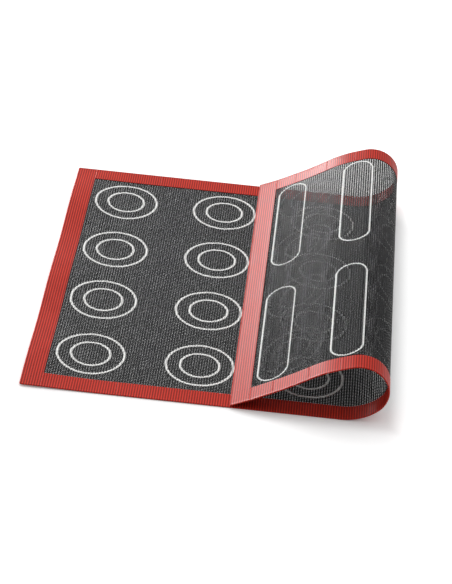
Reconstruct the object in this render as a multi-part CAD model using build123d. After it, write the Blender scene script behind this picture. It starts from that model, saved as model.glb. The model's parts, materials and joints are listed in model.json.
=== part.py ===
from build123d import *

import math
import os

# A rectangular baking mat of open glass-fibre weave coated in silicone, with a closed silicone
# band round its edge. It lies on a flat surface with its right-hand end curled up, over and back,
# so that the free edge rests on the mat's own face.
#
# The mat bends anywhere. Here it bends along parallel fold lines that run across its width, close
# together where it is tightly curled, and each strip between two fold lines is a stiff piece.
# Every piece is cut from one flat mat and then laid along the fold.
#
# Flat coordinates: u along the mat's length from the end that stays flat, v across its width from
# the middle, w up from the middle of its thickness. Placed: +X towards the fold, +Y away from the
# viewer, +Z up, with the origin under the centre of the folded mat. All lengths are millimetres.

# Mat
mat_length = 400.0
mat_width = 300.0
corner_radius = 1.5

# Weave and edge band
weave_thickness = 0.7
band_thickness = 1.0
band_width = 15.0
band_rim = 0.6  # band beyond the weave's cut edge

# Openings: the weave is drawn as a coarse net, as open as its thousands of fine holes make it
openings_across = 12
opening_spacing = 22.0  # aimed at along the mat, where a strip is long enough for several
opening_share = 0.58  # an opening's length and width, as shares of the spacing both ways
least_open_run = 5.0  # a strip with less open weave than this has no openings

# Printed marks
mark_line_width = 1.5
mark_height = 0.1
mark_sides = 24  # straight sides that draw one full turn of a printed line

# Round guides on the face, each an outer and an inner ring, spaced out evenly inside the band
ring_columns = 5
ring_rows = 4
ring_outer_diameter = 48.0
ring_inner_diameter = 28.0
ring_end_margin = 4.25  # from the band to the nearest rings, at the mat's two ends
ring_side_margin = 5.85  # the same along the mat's two long sides

# Long guides on the reverse, round-ended, as long as their rows leave room for
finger_columns = 7
finger_rows = 2
finger_width = 23.0
finger_row_gap = 31.5
finger_end_margin = 3.25
finger_side_margin = 1.75

# The curl, in the order in which the mat follows it
flat_run = 224.0  # stays on the surface
rise_radius = 36.0
rise_angle = 44.0
rise_folds = 3
bend_radius = 20.5
bend_angle = 156.0
bend_folds = 8
crown_run = 22.5  # from the last bend fold line to the crown fold line
droop_run = 26.0  # from the crown fold line to the first droop fold line
droop_spacing = 30.0  # between the two droop fold lines
droop_angle = 4.5  # how far the flap turns back at each droop fold line

# Clearances
fold_gap = 0.3  # between two strips, measured where their fold line is
edge_clearance = 0.3  # between the resting free edge and the band under it
cut_overrun = 5.0  # how far a cutting block passes what it cuts


# Fold lines

def fold_lines():
    """Where each fold line lies along the flat mat, and how far the mat turns there in degrees."""
    rise_half = rise_radius * math.tan(math.radians(rise_angle / rise_folds / 2))
    bend_half = bend_radius * math.tan(math.radians(bend_angle / bend_folds / 2))
    lines = []
    u = flat_run + rise_half
    for _ in range(rise_folds):
        lines.append((u, rise_angle / rise_folds))
        u += 2 * rise_half
    u += bend_half - rise_half
    for _ in range(bend_folds):
        lines.append((u, bend_angle / bend_folds))
        u += 2 * bend_half
    crown = lines[-1][0] + crown_run
    first_droop = crown + droop_run
    second_droop = first_droop + droop_spacing
    lines.append((crown, crown_turn(lines, crown, first_droop, second_droop)))
    lines.append((first_droop, -droop_angle))
    lines.append((second_droop, -droop_angle))
    return lines


def crown_turn(lines, crown, first_droop, second_droop):
    """The turn at the crown that brings the flap's free edge down to its seat on the mat."""
    u, height, angle = 0.0, band_thickness / 2, 0.0
    for line, turn in lines:
        height += (line - u) * math.sin(math.radians(angle))
        u = line
        angle += turn
    height += (crown - u) * math.sin(math.radians(angle))
    seat = band_thickness + edge_clearance + band_thickness / 2
    runs = (first_droop - crown, second_droop - first_droop, mat_length - second_droop)
    along = sum(run * math.cos(math.radians(i * droop_angle)) for i, run in enumerate(runs))
    across = sum(-run * math.sin(math.radians(i * droop_angle)) for i, run in enumerate(runs))
    chord = math.hypot(along, across)
    sag = math.degrees(math.atan2(across, along))
    flap_slope = math.degrees(math.asin((height - seat) / chord))
    return 180.0 + flap_slope - sag - angle


def strips():
    """Each strip's name, its two ends along the flat mat, and its place and slope in the fold."""
    lines = fold_lines()
    names = ["laid_panel"]
    names += [f"bend_{i + 1:02d}" for i in range(rise_folds + bend_folds)]
    names += ["flap_top", "flap_middle", "flap_edge"]
    ends = [0.0] + [line for line, _ in lines] + [mat_length]
    turns = [0.0] + [turn for _, turn in lines]
    found = []
    x, z, angle = 0.0, band_thickness / 2, 0.0
    for name, start, end, turn in zip(names, ends, ends[1:], turns):
        angle += turn
        found.append((name, start, end, x, z, angle, turn))
        x += (end - start) * math.cos(math.radians(angle))
        z += (end - start) * math.sin(math.radians(angle))
    return found


def reach(found):
    """How far right the folded mat reaches from its left edge, at the outermost strip corner."""
    furthest = 0.0
    for _, start, end, x, _, angle, _ in found[1:]:
        slope = math.radians(angle)
        for along in (fold_gap / 2, end - start - fold_gap / 2):
            for up in (-band_thickness / 2, band_thickness / 2):
                furthest = max(furthest, x + along * math.cos(slope) - up * math.sin(slope))
    return furthest


# The flat mat

def field_length():
    """The length of open weave between the band's two ends."""
    return mat_length - 2 * band_width


def field_width():
    return mat_width - 2 * band_width


def plate(length, width, thickness, radius):
    """A flat plate centred on the mat, with rounded corners."""
    outline = RectangleRounded(length, width, radius) if radius > 0 else Rectangle(length, width)
    solid = extrude(outline, thickness / 2, both=True)
    return Pos(mat_length / 2, 0, 0) * solid


def flat_weave():
    length = mat_length - 2 * band_rim
    width = mat_width - 2 * band_rim
    return plate(length, width, weave_thickness, corner_radius - band_rim)


def flat_openings(low, high):
    """The grid of openings in the weave between two places along the mat."""
    start, end = max(low, band_width), min(high, mat_length - band_width)
    if end - start < least_open_run:
        return None
    along = max(1, round((end - start) / opening_spacing))
    step_along, step_across = (end - start) / along, field_width() / openings_across
    opening = Rectangle(step_along * opening_share, step_across * opening_share)
    net = Sketch() + [
        place * opening for place in GridLocations(step_along, step_across, along, openings_across)
    ]
    cut = extrude(net, (weave_thickness + cut_overrun) / 2, both=True)
    return Pos((start + end) / 2, 0, 0) * cut


def flat_band():
    """The edge band, closed over the weave's cut edge and open over the weave's field."""
    band = plate(mat_length, mat_width, band_thickness, corner_radius)
    window = Box(field_length(), field_width(), band_thickness + cut_overrun)
    return band - Pos(mat_length / 2, 0, 0) * window - flat_weave()


def spread(first, last, count):
    return [first + (last - first) * i / (count - 1) for i in range(count)]


def grid(columns, rows, length, width, end_margin, side_margin):
    """Centres of a grid of marks of one size, spaced evenly inside the band with these margins."""
    u = (field_length() - length) / 2 - end_margin
    v = (field_width() - width) / 2 - side_margin
    for along in spread(mat_length / 2 - u, mat_length / 2 + u, columns):
        for across in spread(-v, v, rows):
            yield along, across


def rounded_outline(width, straight):
    """A face of this width with half-round ends beyond a straight run, which may be nothing."""
    step = 2 * math.pi / mark_sides
    radius = width / 2 / math.cos(step / 2)
    points = []
    for i in range(mark_sides):
        angle = (i + 1 / 2) * step
        end = straight / 2 if angle < math.pi else -straight / 2
        points.append((radius * math.cos(angle), end + radius * math.sin(angle)))
    return Polygon(*points, align=None)


def printed_line(width, straight):
    """A closed printed line whose middle follows a rounded outline."""
    outside = rounded_outline(width + mark_line_width, straight)
    return outside - rounded_outline(width - mark_line_width, straight)


def ring_guides():
    """Pairs of concentric rings raised on the face, each with its two ends along the mat."""
    size = ring_outer_diameter + mark_line_width
    sketch = printed_line(ring_outer_diameter, 0) + printed_line(ring_inner_diameter, 0)
    mark = extrude(sketch, mark_height)
    for u, v in grid(ring_columns, ring_rows, size, size, ring_end_margin, ring_side_margin):
        yield u - size / 2, u + size / 2, Pos(u, v, weave_thickness / 2) * mark


def finger_guides():
    """Long outlines raised on the reverse, each with its two ends along the mat."""
    size = finger_width + mark_line_width
    between = finger_row_gap * (finger_rows - 1) + 2 * finger_side_margin
    length = (field_width() - between) / finger_rows
    mark = extrude(printed_line(finger_width, length - size), -mark_height)
    for u, v in grid(finger_columns, finger_rows, size, length, finger_end_margin, finger_side_margin):
        yield u - size / 2, u + size / 2, Pos(u, v, -weave_thickness / 2) * mark


# Strips cut from the flat mat and laid along the fold

def strip_block(start, end):
    """The block that keeps one strip. Only its fold-line ends are set back by half the gap."""
    low = start + fold_gap / 2 if start > 0 else -cut_overrun
    high = end - fold_gap / 2 if end < mat_length else mat_length + cut_overrun
    block = Box(high - low, mat_width + cut_overrun, band_thickness + cut_overrun)
    return low, high, Pos((low + high) / 2, 0, 0) * block


def kept_marks(marks, low, high, block):
    """The marks, or parts of marks, that lie on one strip."""
    kept = []
    for first, last, mark in marks:
        if first >= low and last <= high:
            kept += mark.solids()
        elif last > low and first < high:
            kept += (mark & block).solids()
    return kept


def lay(shape, strip, shift):
    """Moves a shape from the flat mat to its strip's place in the fold."""
    _, start, _, x, z, angle, _ = strip
    return Pos(x - shift, 0, z) * Rot(0, -angle, 0) * Pos(-start, 0, 0) * shape


def write(name, solids, strip, shift):
    laid = [lay(solid, strip, shift) for solid in solids]
    part = Compound(children=laid) if len(laid) > 1 else laid[0]
    part.label = name
    export_step(part, f"parts/{name}.step")


def build():
    os.makedirs("parts", exist_ok=True)
    found = strips()
    right = reach(found)
    shift = right / 2
    weave, band = flat_weave(), flat_band()
    rings, fingers = list(ring_guides()), list(finger_guides())
    print(f"folded size {right:.3f} x {mat_width:.3f}, origin {shift:.3f} from the left edge")
    for strip in found:
        name, start, end, x, z, angle, turn = strip
        low, high, block = strip_block(start, end)
        openings = flat_openings(low, high)
        net = weave & block if openings is None else (weave & block) - openings
        write(f"{name}_weave", net.solids(), strip, shift)
        write(f"{name}_edge_band", (band & block).solids(), strip, shift)
        for kind, marks in (("ring_marks", rings), ("finger_marks", fingers)):
            kept = kept_marks(marks, low, high, block)
            if kept:
                write(f"{name}_{kind}", kept, strip, shift)
        place = f"u {start:.3f} {end:.3f} x {x - shift:.5f} z {z:.5f}"
        print(f"strip {name} {place} slope {angle:.5f} turn {turn:.5f}")


build()
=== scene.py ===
import json
import math

import bpy
import numpy as np
from mathutils import Matrix, Vector

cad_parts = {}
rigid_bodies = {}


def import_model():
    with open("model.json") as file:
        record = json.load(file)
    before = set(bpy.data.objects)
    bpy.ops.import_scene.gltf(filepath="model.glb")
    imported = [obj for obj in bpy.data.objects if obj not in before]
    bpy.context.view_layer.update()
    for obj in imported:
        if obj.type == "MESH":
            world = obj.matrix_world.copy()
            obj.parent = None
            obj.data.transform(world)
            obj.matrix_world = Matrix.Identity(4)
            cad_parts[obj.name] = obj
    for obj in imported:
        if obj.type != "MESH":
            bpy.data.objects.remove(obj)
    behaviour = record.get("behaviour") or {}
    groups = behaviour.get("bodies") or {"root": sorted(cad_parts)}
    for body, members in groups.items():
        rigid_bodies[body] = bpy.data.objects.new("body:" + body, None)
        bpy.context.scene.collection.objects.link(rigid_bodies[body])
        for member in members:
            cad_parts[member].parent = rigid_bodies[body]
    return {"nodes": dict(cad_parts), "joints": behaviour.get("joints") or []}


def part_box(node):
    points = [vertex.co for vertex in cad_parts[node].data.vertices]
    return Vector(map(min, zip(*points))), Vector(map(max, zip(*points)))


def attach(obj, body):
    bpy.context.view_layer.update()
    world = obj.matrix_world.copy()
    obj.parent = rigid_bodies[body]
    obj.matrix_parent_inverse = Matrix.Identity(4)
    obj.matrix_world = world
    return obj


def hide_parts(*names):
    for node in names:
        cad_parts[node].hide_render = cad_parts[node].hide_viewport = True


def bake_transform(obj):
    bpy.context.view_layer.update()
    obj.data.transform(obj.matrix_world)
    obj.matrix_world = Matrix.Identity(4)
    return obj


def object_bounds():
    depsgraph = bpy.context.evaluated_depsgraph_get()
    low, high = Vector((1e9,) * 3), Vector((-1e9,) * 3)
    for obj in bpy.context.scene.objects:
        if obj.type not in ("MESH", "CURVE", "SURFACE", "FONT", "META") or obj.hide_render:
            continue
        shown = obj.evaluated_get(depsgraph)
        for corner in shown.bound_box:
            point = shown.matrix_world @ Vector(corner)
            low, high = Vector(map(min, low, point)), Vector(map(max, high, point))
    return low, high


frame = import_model()
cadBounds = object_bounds()
print("frame loaded with", len(frame["nodes"]), "nodes")

# Everything is in metres. The mat is worked out flat and then laid along the curl: u runs along its
# length from the end that stays flat, v across its width from the middle, w up from mid thickness.

mat = {
    "length": 0.400,
    "bandWidth": 0.015,
    "laidPieces": 4,  # pieces that the flat part of the mat is divided into
    "shortestSheet": 0.011,  # a shorter piece of the weave goes with the one before it
    "lift": 0.0020,  # how far the end's soft waves rise from the surface
    "liftFades": 0.055,  # how far in from the end they reach
    "liftPitch": 0.110,  # from crest to crest
    "liftCrest": 0.100,  # where one crest is
}

bandLow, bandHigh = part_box("laid_panel_edge_band")
weaveLow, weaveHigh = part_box("laid_panel_weave")
leftEnd = bandLow[0]
matWidth = bandHigh[1] - bandLow[1]
bandThick = bandHigh[2] - bandLow[2]
weaveThick = weaveHigh[2] - weaveLow[2]
midHeight = (bandLow[2] + bandHigh[2]) / 2
fieldLength = mat["length"] - 2 * mat["bandWidth"]
fieldWidth = matWidth - 2 * mat["bandWidth"]


def smoothStep(x, low, high):
    t = np.clip((x - low) / (high - low), 0, 1)
    return t * t * (3 - 2 * t)


# The curl

def readFolds():
    # each fold line's place along the mat and in space, and the slope of the strips beside it
    after = {joint["parent"]: joint for joint in frame["joints"]}
    body, along, slope = "laid_panel", 0.0, 0.0
    x, z = leftEnd, midHeight
    found = []
    while body in after:
        joint = after[body]
        hingeX, _, hingeZ = joint["pos_m"]
        along += math.hypot(hingeX - x, hingeZ - z)
        before = slope
        slope += math.radians(joint["range_deg"][1]) * joint["axis"][1]
        found.append({
            "parent": body, "child": joint["child"], "at": along,
            "x": hingeX, "z": hingeZ, "before": before, "after": slope,
        })
        x, z, body = hingeX, hingeZ, joint["child"]
    ends = [0.0] + [fold["at"] for fold in found] + [mat["length"]]
    for fold, start, end in zip(found, ends, ends[2:]):
        fold["reach"] = min(fold["at"] - start, end - fold["at"]) / 2
    return found


folds = readFolds()


def foldValues(key):
    return np.array([fold[key] for fold in folds])


def layAlong(flat):
    # points of the flat mat, moved to where they lie on the curl
    u, v, w = flat.T
    near = np.abs(u[:, None] - foldValues("at")).argmin(1)
    x, z = foldValues("x")[near], foldValues("z")[near]
    reach = foldValues("reach")[near]
    before, after = foldValues("before")[near], foldValues("after")[near]
    d = u - foldValues("at")[near]
    t = np.clip((d + reach) / (2 * reach), 0, 1)
    back = np.minimum(d + reach, 0) - reach * (1 - t) ** 2
    forward = np.maximum(d - reach, 0) + reach * t ** 2
    x = x + back * np.cos(before) + forward * np.cos(after)
    z = z + back * np.sin(before) + forward * np.sin(after)
    alongX = (1 - t) * np.cos(before) + t * np.cos(after)
    alongZ = (1 - t) * np.sin(before) + t * np.sin(after)
    size = np.hypot(alongX, alongZ)
    return np.stack([x - w * alongZ / size, v, z + w * alongX / size], 1)


def placeOf(u):
    return Vector(layAlong(np.array([[u, 0.0, 0.0]]))[0])


# Sheets of faces, kept as one array for each number of corners, with each face's side of the mat:
# 0 for the face and 1 for the reverse

def directedEdges(faces):
    starts = [group.ravel() for group in faces.values()]
    ends = [np.roll(group, -1, axis=1).ravel() for group in faces.values()]
    return np.concatenate(starts), np.concatenate(ends)


def openEdges(faces, count):
    # edges that no neighbouring face runs back along
    starts, ends = directedEdges(faces)
    lone = ~np.isin(starts * count + ends, ends * count + starts)
    return starts[lone], ends[lone]


def pointNormals(points, faces):
    total = np.zeros_like(points)
    for group in faces.values():
        corners = points[group]
        normal = np.cross(corners[:, 1] - corners[:, 0], corners[:, 2] - corners[:, 0])
        if group.shape[1] == 4:
            normal = normal + np.cross(corners[:, 2] - corners[:, 0], corners[:, 3] - corners[:, 0])
        for corner in range(group.shape[1]):
            for axis in range(3):
                total[:, axis] += np.bincount(group[:, corner], normal[:, axis], len(points))
    return total / np.maximum(np.linalg.norm(total, axis=1, keepdims=True), np.finfo(float).tiny)


def finishSheet(flat, faces, sides):
    # lays a flat sheet along the curl, with the soft waves at its end
    points = layAlong(flat)
    crest = (1 + np.cos((flat[:, 1] - mat["liftCrest"]) * (2 * math.pi / mat["liftPitch"]))) / 2
    points[:, 2] += mat["lift"] * crest * (1 - smoothStep(flat[:, 0], 0, mat["liftFades"]))
    return {
        "flat": flat, "points": points, "faces": faces, "sides": sides,
        "normals": pointNormals(points, faces),
    }


def endCaps(faces, count):
    # faces that close the cut ends, one round each loop of open edges
    starts, ends = openEdges(faces, count)
    after = dict(zip(starts.tolist(), ends.tolist()))
    caps = []
    while after:
        first, here = after.popitem()
        loop = [here]
        while here != first:
            here = after.pop(here)
            loop.append(here)
        caps.append(loop[::-1])
    return caps


bakeMap = {
    "gap": 0.005,
    "sideWidth": 0.49,
    "sideHeight": 0.93,
    "reverseFrom": 0.5,
    "capsFrom": 0.95,
    "capsHeight": 0.04,
    "capWidth": 0.8,  # as a share of the room that each cut end has in its row
}


def bakedPlaces(flat, faces, sides, caps):
    # a map with the face side on the left, the reverse on the right and the cut ends in a row above
    low, high = flat[:, :2].min(0), flat[:, :2].max(0)
    spread = (flat[:, :2] - low) / (high - low)
    room = np.array([bakeMap["sideWidth"], bakeMap["sideHeight"]]) - bakeMap["gap"]
    found = []
    for key, group in faces.items():
        place = bakeMap["gap"] + spread[group] * room
        place[:, :, 0] += sides[key][:, None] * bakeMap["reverseFrom"]
        found.append(place.reshape(-1, 2))
    for i, loop in enumerate(caps):
        turn = -np.arange(len(loop)) / len(loop) * 2 * math.pi
        across = (i + (1 + bakeMap["capWidth"] * np.cos(turn)) / 2) / len(caps)
        up = bakeMap["capsFrom"] + bakeMap["capsHeight"] * (1 + np.sin(turn)) / 2
        found.append(np.stack([across, up], 1))
    return np.concatenate(found)


def makeMesh(name, sheet, faces, sides):
    # one piece of a sheet, with its own points, closed where it is cut off
    used = np.unique(np.concatenate([group.ravel() for group in faces.values()]))
    renumber = np.zeros(len(sheet["flat"]), dtype=np.int64)
    renumber[used] = np.arange(len(used))
    faces = {size: renumber[group] for size, group in faces.items()}
    flat, points, normals = (sheet[key][used] for key in ("flat", "points", "normals"))
    caps = endCaps(faces, len(used))
    corners = np.concatenate([group.ravel() for group in faces.values()] + caps)
    sizes = np.concatenate(
        [np.full(len(group), size) for size, group in faces.items()] + [[len(cap)] for cap in caps]
    )
    mesh = bpy.data.meshes.new(name)
    mesh.vertices.add(len(points))
    mesh.vertices.foreach_set("co", points.ravel())
    mesh.loops.add(len(corners))
    mesh.loops.foreach_set("vertex_index", corners.astype(np.int32))
    mesh.polygons.add(len(sizes))
    mesh.polygons.foreach_set("loop_start", (np.cumsum(sizes) - sizes).astype(np.int32))
    mesh.polygons.foreach_set("use_smooth", np.arange(len(sizes)) < len(sizes) - len(caps))
    mesh.update(calc_edges=True)
    bakedTo = mesh.uv_layers.new(name="OFBake")
    bakedTo.data.foreach_set("uv", bakedPlaces(flat, faces, sides, caps).ravel())
    held = mesh.attributes.new("flat", "FLOAT_VECTOR", "POINT")
    held.data.foreach_set("vector", flat.ravel())
    cornerNormals = normals[corners]
    cornerNormals[len(corners) - sum(len(cap) for cap in caps):] = 0  # a cut end keeps its own
    mesh.normals_split_custom_set(cornerNormals)
    piece = bpy.data.objects.new(name, mesh)
    bpy.context.scene.collection.objects.link(piece)
    return piece


# The weave

weave = {
    "columns": 203,  # yarns that run across the mat, from band edge to band edge
    "rows": 148,  # yarns that run along it
    "yarnShare": 0.62,  # a yarn's width as a share of the mesh pitch
    "webbing": 0.00010,  # coating that rounds off each crossing's corners
    "wave": 0.00022,  # how far each yarn rises and falls as it passes over and under
    "sunk": 0.00009,  # how much lower the yarns along the mat lie than those across it
}
pitchU = fieldLength / (weave["columns"] - 1)
pitchV = fieldWidth / (weave["rows"] - 1)
halfU, halfV = weave["yarnShare"] * pitchU / 2, weave["yarnShare"] * pitchV / 2
padU, padV = halfU + weave["webbing"], halfV + weave["webbing"]
padOutline, padSide = 8, 5  # points round a crossing's outline, and on each of its two sides


def crossingPad():
    # the points of one crossing, each with its u and v from the middle and its share of the yarns'
    # wave, and how far each is lifted: first round the outline, anticlockwise from the right, then
    # right, top, left, bottom and centre of the face, and of the reverse
    besideU, besideV = math.cos(math.pi * padU / pitchU), -math.cos(math.pi * padV / pitchV)
    outline = [
        (padU, halfV, besideU), (halfU, padV, besideV),
        (-halfU, padV, besideV), (-padU, halfV, besideU),
        (-padU, -halfV, besideU), (-halfU, -padV, besideV),
        (halfU, -padV, besideV), (padU, -halfV, besideU),
    ]
    middle = [(padU, 0, besideU), (0, padV, besideV), (-padU, 0, besideU), (0, -padV, besideV), (0, 0, 0)]
    yarnHalf = weaveThick / 2 - weave["wave"]
    rise = np.array([yarnHalf - weave["sunk"], yarnHalf] * 2 + [weaveThick / 2])
    lift = np.concatenate([np.zeros(len(outline)), rise, -rise])
    return np.array(outline + middle * 2), lift


def weaveFaces(base):
    # each crossing's pad and the yarns between crossings, from the number of each crossing's first point
    nextColumn, nextRow = base[1, 0], base[0, 1]
    faces, sides = {3: [], 4: []}, {3: [], 4: []}
    for side, first, step in ((0, padOutline, 1), (1, padOutline + padSide, -1)):
        right, top, left, bottom, centre = range(first, first + padSide)
        ring = [right, 0, 1, top, 2, 3, left, 4, 5, bottom, 6, 7]
        spans = [(base, [centre, a, b]) for a, b in zip(ring, ring[1:] + ring[:1])]
        spans += [
            (base[:-1], [right, nextColumn + left, nextColumn + 3, 0]),
            (base[:-1], [7, nextColumn + 4, nextColumn + left, right]),
            (base[:, :-1], [top, 1, nextRow + 6, nextRow + bottom]),
            (base[:, :-1], [2, top, nextRow + bottom, nextRow + 5]),
        ]
        for start, corners in spans:
            faces[len(corners)].append(start.ravel()[:, None] + corners[::step])
            sides[len(corners)].append(np.full(start.size, side))
    return [{size: np.concatenate(groups) for size, groups in each.items()} for each in (faces, sides)]


def weaveSheet():
    pad, lift = crossingPad()
    du, dv, follow = pad.T
    column, row = np.meshgrid(np.arange(weave["columns"]), np.arange(weave["rows"]), indexing="ij")
    over = np.where((column + row) % 2 == 0, 1.0, -1.0)[..., None] * weave["wave"]
    u = mat["bandWidth"] + column[..., None] * pitchU + du
    v = row[..., None] * pitchV - fieldWidth / 2 + dv
    flat = np.stack([u, v, over * follow + lift], -1).reshape(-1, 3)
    faces, sides = weaveFaces((column * weave["rows"] + row) * len(pad))
    return finishSheet(flat, faces, sides)


# The places where the mat is divided into pieces

def seamNear(u):
    # the left side of the crossings nearest to u
    column = round((u - mat["bandWidth"] + padU) / pitchU)
    return mat["bandWidth"] + column * pitchU - padU


def pieceEnds():
    # every piece's name and ends along the mat, and the fold that it bends over
    first = folds[0]["at"] - folds[0]["reach"]
    count = mat["laidPieces"]
    names = [f"laid_{i + 1}" for i in range(count)] + [fold["child"] for fold in folds]
    bends = [None] * count + folds
    cuts = [mat["bandWidth"] + (first - mat["bandWidth"]) * (i + 1) / count for i in range(count)]
    cuts += [(a["at"] + b["at"]) / 2 for a, b in zip(folds, folds[1:])]
    ends = [0.0] + [seamNear(cut) for cut in cuts] + [mat["length"]]
    return list(zip(names, ends, ends[1:], bends))


pieces = pieceEnds()
seams = np.array([end for _, _, end, _ in pieces[:-1]])


def cutSheet(kind, sheet, finish):
    # the sheet's pieces, each named after its kind and its place along the mat
    owner = {
        key: np.searchsorted(seams, sheet["flat"][group][:, :, 0].mean(1))
        for key, group in sheet["faces"].items()
    }
    made = {}
    for i, (name, start, end, fold) in enumerate(pieces):
        faces = {key: group[owner[key] == i] for key, group in sheet["faces"].items()}
        sides = {key: side[owner[key] == i] for key, side in sheet["sides"].items()}
        if not sum(len(group) for group in faces.values()):
            continue
        piece = makeMesh(f"{kind}_{name}", sheet, faces, sides)
        piece.data.materials.append(finish)
        if fold:
            stop = min(end, 2 * fold["at"] - start)
            placeOf(start)
            placeOf(stop)
            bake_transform(piece)
        else:
            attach(piece, "laid_panel")
        made[name] = piece
    print(kind, "made in", len(made), "pieces,", sum(len(p.data.polygons) for p in made.values()), "faces")
    return made


# The edge band

band = {
    "rim": 0.0006,  # how far in the rounded edge reaches
    "rimShares": [0, 0.1, 0.25, 0.6, 1],  # lines across the rounded edge
    "evenFrom": 0.0009,  # from here in, the lines keep to the mesh pitch
    "sameLine": 0.01,  # a cut this close to a line, as a share of the pitch, needs no line of its own
    "lip": 0.00012,  # softened inner edge beside the weave
    "lipDrop": 0.00010,
    "cornerRadius": 0.0015,
    "ribDip": 0.00022,  # between the yarns that run across the mat the silicone sinks in
    "holeDip": 0.00010,  # and more so over the weave's holes
    "dipFrom": 0.0006,  # from here in, the surface begins to follow the weave
    "dipFull": 0.0014,
}


def bandLines(length, pitch, extra=()):
    # lines close together at the outer edges, then two to a mesh pitch
    inner = mat["bandWidth"]
    steps = int((inner - band["evenFrom"]) / (pitch / 2))
    count = round((length - 2 * inner) / (pitch / 2))
    lines = [inner + i * pitch / 2 for i in range(-steps, count + steps + 1)]
    edges = [band["rim"] * share for share in band["rimShares"]] + [inner - band["lip"]]
    lines += edges + [length - edge for edge in edges]
    lines += [cut for cut in extra if min(abs(cut - line) for line in lines) > pitch * band["sameLine"]]
    return np.array(sorted(lines))


def ridges(x):
    # 1 at each whole number and 0 half way between
    return 1 - 2 * np.abs(x - np.round(x))


def fromEdges(u, v):
    # v is measured from the mat's front edge here and in the next three functions
    return np.minimum(u, mat["length"] - u), np.minimum(v, matWidth - v)


def bandHeight(u, v):
    # the height over mid thickness: rounded off at the rim, and sunk between the yarns and at the lip
    inner = mat["bandWidth"]
    fromEdge = np.minimum(*fromEdges(u, v))
    rim = np.clip(fromEdge / band["rim"], 0, 1)
    height = bandThick / 2 * np.sqrt(1 - (1 - rim) ** 2)
    ribU, ribV = ridges((u - inner) / pitchU), ridges((v - inner) / pitchV)
    dip = (band["ribDip"] + band["holeDip"] * (1 - ribV)) * (1 - ribU)
    lip = np.clip(1 - (inner - fromEdge) / band["lip"], 0, 1)
    return height - dip * smoothStep(fromEdge, band["dipFrom"], band["dipFull"]) - lip * band["lipDrop"]


def roundCorners(u, v):
    # moves the points near the mat's four square corners onto rounded ones
    radius = band["cornerRadius"]
    cornerU, cornerV = (np.clip(1 - each / radius, 0, 1) for each in fromEdges(u, v))
    inCorner = (cornerU > 0) & (cornerV > 0)
    roundU = radius * (1 - cornerU * np.sqrt(1 - cornerV ** 2 / 2))
    roundV = radius * (1 - cornerV * np.sqrt(1 - cornerU ** 2 / 2))
    u = np.where(inCorner, np.where(u < mat["length"] / 2, roundU, mat["length"] - roundU), u)
    return u, np.where(inCorner, np.where(v < matWidth / 2, roundV, matWidth - roundV), v)


def bandSheet():
    inner = mat["bandWidth"]
    uLines, vLines = bandLines(mat["length"], pitchU, seams), bandLines(matWidth, pitchV)
    u, v = np.meshgrid(uLines, vLines, indexing="ij")
    roundU, roundV = roundCorners(u, v)
    height = bandHeight(u, v)
    face, reverse = (
        np.stack([roundU, roundV - matWidth / 2, side * height], -1).reshape(-1, 3) for side in (1, -1)
    )
    count = len(face)
    faceId = np.arange(count).reshape(u.shape)
    reverseId = np.where(np.minimum(*fromEdges(u, v)) > 0, faceId + count, faceId)
    midU, midV = (uLines[:-1] + uLines[1:]) / 2, (vLines[:-1] + vLines[1:]) / 2
    inField = np.logical_and.outer(
        (midU > inner) & (midU < mat["length"] - inner), (midV > inner) & (midV < matWidth - inner)
    )
    quads, sides = [], []
    for side, ids, step in ((0, faceId, 1), (1, reverseId, -1)):
        corners = [ids[:-1, :-1], ids[1:, :-1], ids[1:, 1:], ids[:-1, 1:]]
        quads.append(np.stack([corner[~inField] for corner in corners], 1)[:, ::step])
        sides.append(np.full(len(quads[side]), side))
    starts, ends = openEdges({4: quads[0]}, count)
    besideField = (face[starts, 2] > 0) & (face[ends, 2] > 0)
    starts, ends = starts[besideField], ends[besideField]
    quads.append(np.stack([ends, starts, starts + count, ends + count], 1))
    sides.append(np.zeros(len(starts), int))
    faces, sides = {4: np.concatenate(quads)}, {4: np.concatenate(sides)}
    return finishSheet(np.concatenate([face, reverse]), faces, sides)


# The print

prints = {
    "raised": 0.00013,  # how far the ink stands over the yarns
    "sunk": 0.00001,  # how far its underside lies inside them
}
rings = {
    "columns": 5, "rows": 4, "pitchU": 0.0780, "pitchV": 0.0696,
    "outer": 0.048, "inner": 0.028, "lineWidth": 0.0017,
}
fingers = {
    "columns": 7, "rows": 2, "pitchU": 0.0565, "pitchV": 0.1490,
    "width": 0.023, "length": 0.116, "lineWidth": 0.0013,
}


def fromNearest(flat, guide):
    # how far each point lies from the middle of the nearest guide
    found = []
    for place, count, pitch in (
        (flat[:, 0] - mat["length"] / 2, guide["columns"], guide["pitchU"]),
        (flat[:, 1], guide["rows"], guide["pitchV"]),
    ):
        first = -(count - 1) / 2 * pitch
        index = np.clip(np.round((place - first) / pitch), 0, count - 1)
        found.append(place - first - index * pitch)
    return found


def inRings(flat):
    # more than 0 inside a printed line, as in the next function
    out = np.hypot(*fromNearest(flat, rings))
    off = np.minimum(np.abs(out - rings["outer"] / 2), np.abs(out - rings["inner"] / 2))
    return rings["lineWidth"] / 2 - off


def inFingers(flat):
    across, along = fromNearest(flat, fingers)
    along = np.maximum(np.abs(along) - (fingers["length"] - fingers["width"]) / 2, 0)
    return fingers["lineWidth"] / 2 - np.abs(np.hypot(across, along) - fingers["width"] / 2)


def keepInside(tris, value):
    # what is left of each triangle inside a line, and the edges that cross out of it, with the share
    # of each edge's length at which it does
    crossings, crossed, loops = {}, [], []
    for tri in tris.tolist():
        loop = []
        for a, b in zip(tri, tri[1:] + tri[:1]):
            if value[a] > 0:
                loop.append(a)
            if (value[a] > 0) != (value[b] > 0):
                key = (min(a, b), max(a, b))
                if key not in crossings:
                    crossings[key] = len(value) + len(crossed)
                    crossed.append((a, b, value[a] / (value[a] - value[b])))
                loop.append(crossings[key])
        loops.append(loop)
    return loops, (np.array(each) for each in zip(*crossed))


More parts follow.
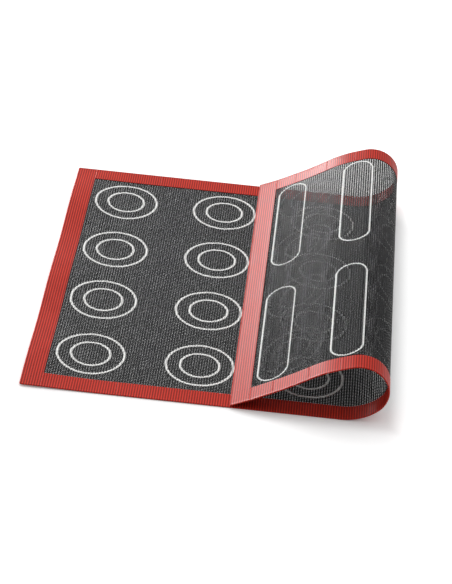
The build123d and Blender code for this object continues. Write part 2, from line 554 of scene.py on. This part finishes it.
def printSheet(base, side, inLine):
    # the ink lies on the yarns only, cut out of the weave's own surface along the line's two edges
    value = inLine(base["flat"])
    tris, quads = (base["faces"][size][base["sides"][size] == side] for size in (3, 4))
    tris = np.concatenate([tris, quads[:, [0, 1, 2]], quads[:, [0, 2, 3]]])
    loops, (first, second, share) = keepInside(tris[(value[tris] > 0).any(1)], value)

    def withCrossings(known):
        return np.concatenate([known, known[first] + (known[second] - known[first]) * share[:, None]])

    flat, points, outward = (withCrossings(base[key]) for key in ("flat", "points", "normals"))
    tops = {size: np.array([loop for loop in loops if len(loop) == size]) for size in (3, 4)}
    count = len(flat)
    starts, ends = openEdges(tops, count)
    walls = np.stack([ends, starts, starts + count, ends + count], 1)
    faces = {size: np.concatenate([top, top[:, ::-1] + count]) for size, top in tops.items()}
    sides = {size: np.repeat([0, 1], len(top)) for size, top in tops.items()}
    faces[4] = np.concatenate([faces[4], walls])
    sides[4] = np.concatenate([sides[4], np.zeros(len(walls), int)])
    return {
        "flat": np.concatenate([flat, flat]),
        "points": np.concatenate([points + outward * prints["raised"], points - outward * prints["sunk"]]),
        "normals": np.concatenate([outward, -outward]),
        "faces": faces,
        "sides": sides,
    }


# Finishes

class Wire:
    # a shader socket that sums can be written with

    def __init__(self, paint, socket):
        self.paint = paint
        self.socket = socket

    def __add__(self, other):
        return self.paint.maths("ADD", self, other)

    __radd__ = __add__

    def __sub__(self, other):
        return self.paint.maths("SUBTRACT", self, other)

    def __rsub__(self, other):
        return self.paint.maths("SUBTRACT", other, self)

    def __mul__(self, other):
        return self.paint.maths("MULTIPLY", self, other)

    __rmul__ = __mul__

    def __pow__(self, other):
        return self.paint.maths("POWER", self, other)

    def __rpow__(self, other):
        return self.paint.maths("POWER", other, self)


noiseDetail = {"broad": 3, "fine": 4}
noiseMiddle = 0.5  # a noise varies about this


class Paint:
    # the nodes of a material or of the world, added one at a time

    def __init__(self, owner):
        self.owner = owner
        owner.use_nodes = True
        self.tree = owner.node_tree
        self.tree.nodes.clear()

    def node(self, kind, settings=None, inputs=None, output=0):
        made = self.tree.nodes.new(kind)
        for key, value in (settings or {}).items():
            setattr(made, key, value)
        for key, value in (inputs or {}).items():
            if isinstance(value, Wire):
                self.tree.links.new(value.socket, made.inputs[key])
            else:
                made.inputs[key].default_value = value
        return Wire(self, made.outputs[output] if made.outputs else None)

    def maths(self, operation, first, second=0):
        return self.node("ShaderNodeMath", {"operation": operation}, {0: first, 1: second})

    def part(self, vector, axis):
        return self.node("ShaderNodeSeparateXYZ", None, {0: vector}, axis)

    def noise(self, place, look, size):
        sockets = {"Vector": place, "Scale": look[size], "Detail": noiseDetail[size]}
        return self.node("ShaderNodeTexNoise", None, sockets)

    def mix(self, share, first, second):
        # a Mix node has its colours at sockets 6 and 7 and gives them at output 2
        sockets = {0: share, 6: (*first, 1), 7: (*second, 1)}
        return self.node("ShaderNodeMix", {"data_type": "RGBA"}, sockets, 2)


def newSkin(name):
    # a new material, and the place on the flat mat of each point that it covers
    paint = Paint(bpy.data.materials.new(name))
    return paint, paint.node("ShaderNodeAttribute", {"attribute_name": "flat"}, None, "Vector")


def onYarns(paint, along, first, pitch):
    # 1 on the middle line of each yarn and 0 half way between two
    wave = paint.maths("COSINE", (along - first) * (math.pi / pitch))
    return wave * wave


def mottle(paint, place, look):
    broad = paint.noise(place, look, "broad") * look["broadShare"]
    return broad + paint.noise(place, look, "fine") * look["fineShare"]


def silicone(paint, place, look, shade):
    # a soft skin of one kind of silicone, between two shades
    grain = paint.noise(place, look, "fine")
    uneven = (paint.noise(place, look, "broad") - noiseMiddle) * look["uneven"]
    bump = {"Strength": look["grain"], "Distance": look["grainDepth"], "Height": grain}
    shader = paint.node("ShaderNodeBsdfPrincipled", None, {
        "Base Color": paint.mix(shade, look["deep"], look["bright"]),
        "Roughness": look["roughness"] + uneven,
        "Specular IOR Level": look["shine"],
        "Normal": paint.node("ShaderNodeBump", None, bump),
    })
    paint.node("ShaderNodeOutputMaterial", None, {"Surface": shader})
    return paint.owner


blackSilicone = {
    "deep": (0.0035, 0.0037, 0.0042),
    "bright": (0.014, 0.0145, 0.0155),
    "roughness": 0.24,
    "uneven": 0.08,  # how much the roughness varies
    "shine": 0.14,
    "broad": 90,  # sizes of the two noises, per metre
    "fine": 2600,
    "grain": 0.35,
    "grainDepth": 0.00006,
    "crest": 3,  # how narrow the painted highlight on the crest of each yarn across the mat is
    "ribShare": 0.85,  # what each thing adds to the brighter shade: the crests' share is a painted highlight, and the darker colour between them painted shade
    "broadShare": 0.08,
    "fineShare": 0.08,
}


def blackFinish():
    paint, place = newSkin("black_silicone")
    # the crest of each yarn across the mat is painted lighter as a highlight, and the valleys between the
    # yarns darker as painted shade
    onRib = onYarns(paint, paint.part(place, "X"), mat["bandWidth"], pitchU)
    crestLightAndShade = onRib ** blackSilicone["crest"] * blackSilicone["ribShare"]
    return silicone(paint, place, blackSilicone, crestLightAndShade + mottle(paint, place, blackSilicone))


redSilicone = {
    "deep": (0.085, 0.0040, 0.0030),
    "bright": (0.640, 0.0430, 0.0255),
    "roughness": 0.36,
    "uneven": 0.10,
    "shine": 0.058,
    "broad": 60,
    "fine": 2200,
    "grain": 0.25,
    "grainDepth": 0.00005,
    "ribShare": 0.75,  # what each thing adds to the brighter shade; the darker colour between the ribs and over the holes is painted shade
    "yarnShare": 0.15,
    "broadShare": 0.20,
}


def redFinish():
    paint, place = newSkin("red_silicone")
    onRib = onYarns(paint, paint.part(place, "X"), mat["bandWidth"], pitchU)
    onRow = onYarns(paint, paint.part(place, "Y"), -fieldWidth / 2, pitchV)
    onYarn = 1 - (1 - onRib) * (1 - onRow)
    # darker between the ribs and over the weave's holes: painted shade in the band's dips
    shade = onRib * redSilicone["ribShare"] + onYarn * redSilicone["yarnShare"]
    shade = shade + paint.noise(place, redSilicone, "broad") * redSilicone["broadShare"]
    return silicone(paint, place, redSilicone, shade)


whiteInk = {
    "deep": (0.86, 0.86, 0.84),
    "bright": (0.95, 0.95, 0.93),
    "roughness": 0.6,
    "uneven": 0.1,
    "shine": 0.4,
    "broad": 160,
    "fine": 3000,
    "grain": 0.3,
    "grainDepth": 0.00004,
    "broadShare": 0.5,
    "fineShare": 0.5,
}


def inkFinish():
    paint, place = newSkin("white_ink")
    return silicone(paint, place, whiteInk, mottle(paint, place, whiteInk))


# The pieces

weaveFlat = weaveSheet()
weavePieces = cutSheet("weave", weaveFlat, blackFinish())
bandPieces = cutSheet("band", bandSheet(), redFinish())
ink = inkFinish()
ringPieces = cutSheet("rings", printSheet(weaveFlat, 0, inRings), ink)
fingerPieces = cutSheet("fingers", printSheet(weaveFlat, 1, inFingers), ink)


def replaceNodes(made, ending):
    # hides each node that a piece is made for, and each node whose strip has no piece of its own
    waiting = {node for node in frame["nodes"] if node.endswith("_" + ending)}
    for name, piece in made.items():
        strip = "laid_panel" if name == "laid_1" else name
        node = f"{strip}_{ending}"
        if node in waiting:
            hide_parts(node)
            waiting.discard(node)
    if waiting:
        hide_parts(*sorted(waiting))


def declareSheets():
    groups = []
    for name, start, end, _ in pieces:
        found = [made[name] for made in (bandPieces, ringPieces, fingerPieces) if name in made]
        if end - start >= mat["shortestSheet"] or not groups:
            groups.append((name, start, end, found))
        else:
            groups[-1][3].extend([weavePieces[name]] + found)
    for name, start, end, found in groups:
        size = (min(end, mat["length"] - mat["bandWidth"]) - max(start, mat["bandWidth"]), fieldWidth)


replaceNodes(weavePieces, "weave")
replaceNodes(bandPieces, "edge_band")
replaceNodes(ringPieces, "ring_marks")
replaceNodes(fingerPieces, "finger_marks")
declareSheets()


# The room

room = {
    "floorHeight": -0.0001,
    "floorSize": 6.0,
    "floorColour": (0.94, 0.94, 0.94, 1),
    "glowAround": 0.36,  # seen by the camera, away from the mat
    "glowUnder": 0.14,  # and under it
    "glowFull": 0.014,  # how far from the mat's sides the glow around it is full
    "worldColour": (1, 1, 1, 1),
    "worldLow": 0.26,  # light from the sides, low down
    "worldTop": 0.70,  # how much more comes from above
    "worldBack": 0.50,  # how much more comes from behind, and less from in front
}


def seenDirectly(paint):
    # 1 where the background is seen, in a reflection too, and 0 where it only lights the mat
    seen = paint.node("ShaderNodeLightPath", output="Is Camera Ray")
    for name in ("Is Glossy Ray", "Is Transmission Ray"):
        seen = paint.maths("MAXIMUM", seen, paint.node("ShaderNodeLightPath", output=name))
    return seen


def lightWorld():
    world = bpy.data.worlds.new("studio")
    bpy.context.scene.world = world
    paint = Paint(world)
    towards = paint.node("ShaderNodeTexCoord", output="Generated")
    y, z = paint.part(towards, "Y"), paint.part(towards, "Z")
    strength = paint.maths("MAXIMUM", z * room["worldTop"] + y * room["worldBack"] + room["worldLow"], 0)
    colour = room["worldColour"]
    lighting = paint.node("ShaderNodeBackground", None, {"Color": colour, "Strength": strength})
    seen = paint.node("ShaderNodeBackground", None, {"Color": colour, "Strength": 1})
    both = paint.node("ShaderNodeMixShader", None, {0: seenDirectly(paint), 1: lighting, 2: seen})
    paint.node("ShaderNodeOutputWorld", None, {"Surface": both})


def floorFinish():
    paint = Paint(bpy.data.materials.new("floor_white"))
    plain = paint.node("ShaderNodeBsdfDiffuse", None, {"Color": room["floorColour"]})
    place = paint.node("ShaderNodeNewGeometry", output="Position")
    beyondX = paint.maths("ABSOLUTE", paint.part(place, "X")) - cadBounds[1][0]
    beyondY = paint.maths("ABSOLUTE", paint.part(place, "Y")) - cadBounds[1][1]
    away = paint.node("ShaderNodeMapRange", {"interpolation_type": "SMOOTHSTEP"}, {
        "Value": paint.maths("MAXIMUM", beyondX, beyondY), "From Min": 0, "From Max": room["glowFull"],
    })
    strength = away * (room["glowAround"] - room["glowUnder"]) + room["glowUnder"]
    glow = paint.node("ShaderNodeEmission", None, {"Strength": strength * seenDirectly(paint)})
    both = paint.node("ShaderNodeAddShader", None, {0: plain, 1: glow})
    paint.node("ShaderNodeOutputMaterial", None, {"Surface": both})
    return paint.owner


def layFloor():
    half = room["floorSize"] / 2
    mesh = bpy.data.meshes.new("floor")
    corners = [(-half, -half), (half, -half), (half, half), (-half, half)]
    mesh.from_pydata([(x, y, room["floorHeight"]) for x, y in corners], [], [(0, 1, 2, 3)])
    mesh.materials.append(floorFinish())
    floor = bpy.data.objects.new("floor", mesh)
    bpy.context.scene.collection.objects.link(floor)


lamps = {
    "key_lamp": {"place": (-0.5, 0.9, 1.6), "target": (0, 0, 0), "size": 1.2, "power": 10},
    "back_lamp": {"place": (-0.92, 1.87, 0.46), "target": (0.05, 0.05, 0.03), "size": 0.5, "power": 25},
}


def addLamps():
    for name, each in lamps.items():
        lamp = bpy.data.lights.new(name, "AREA")
        lamp.shape = "DISK"
        lamp.size = each["size"]
        lamp.energy = each["power"]
        held = bpy.data.objects.new(name, lamp)
        held.location = each["place"]
        shining = Vector(each["target"]) - Vector(each["place"])
        held.rotation_euler = shining.to_track_quat("-Z", "Y").to_euler()
        bpy.context.scene.collection.objects.link(held)


lightWorld()
layFloor()
addLamps()
print("room lit")


# The camera

camera = {
    "place": (0.053070, -1.358144, 0.902776),
    "towards": (-0.02974713, 0.83120709, -0.55516654),
    "tiltUp": 0.07138,  # how far its right-hand side points up
    "lens": 134.08,
    "sensor": 36,
    "nearest": 0.01,
    "furthest": 20,
}


def placeCamera():
    made = bpy.data.cameras.new("camera")
    made.sensor_fit = "VERTICAL"
    made.sensor_height = camera["sensor"]
    made.lens = camera["lens"]
    made.clip_start = camera["nearest"]
    made.clip_end = camera["furthest"]
    towards = Vector(camera["towards"]).normalized()
    level = towards.cross(Vector((0, 0, 1))).normalized()
    above = level.cross(towards)
    turn = math.asin(camera["tiltUp"] / above.z)
    right = level * math.cos(turn) + above * math.sin(turn)
    held = bpy.data.objects.new("camera", made)
    axes = Matrix((right, right.cross(towards), -towards)).transposed()
    held.matrix_world = Matrix.Translation(camera["place"]) @ axes.to_4x4()
    bpy.context.scene.collection.objects.link(held)
    bpy.context.scene.camera = held


placeCamera()
bpy.context.scene.view_settings.view_transform = "Standard"
print("camera placed")
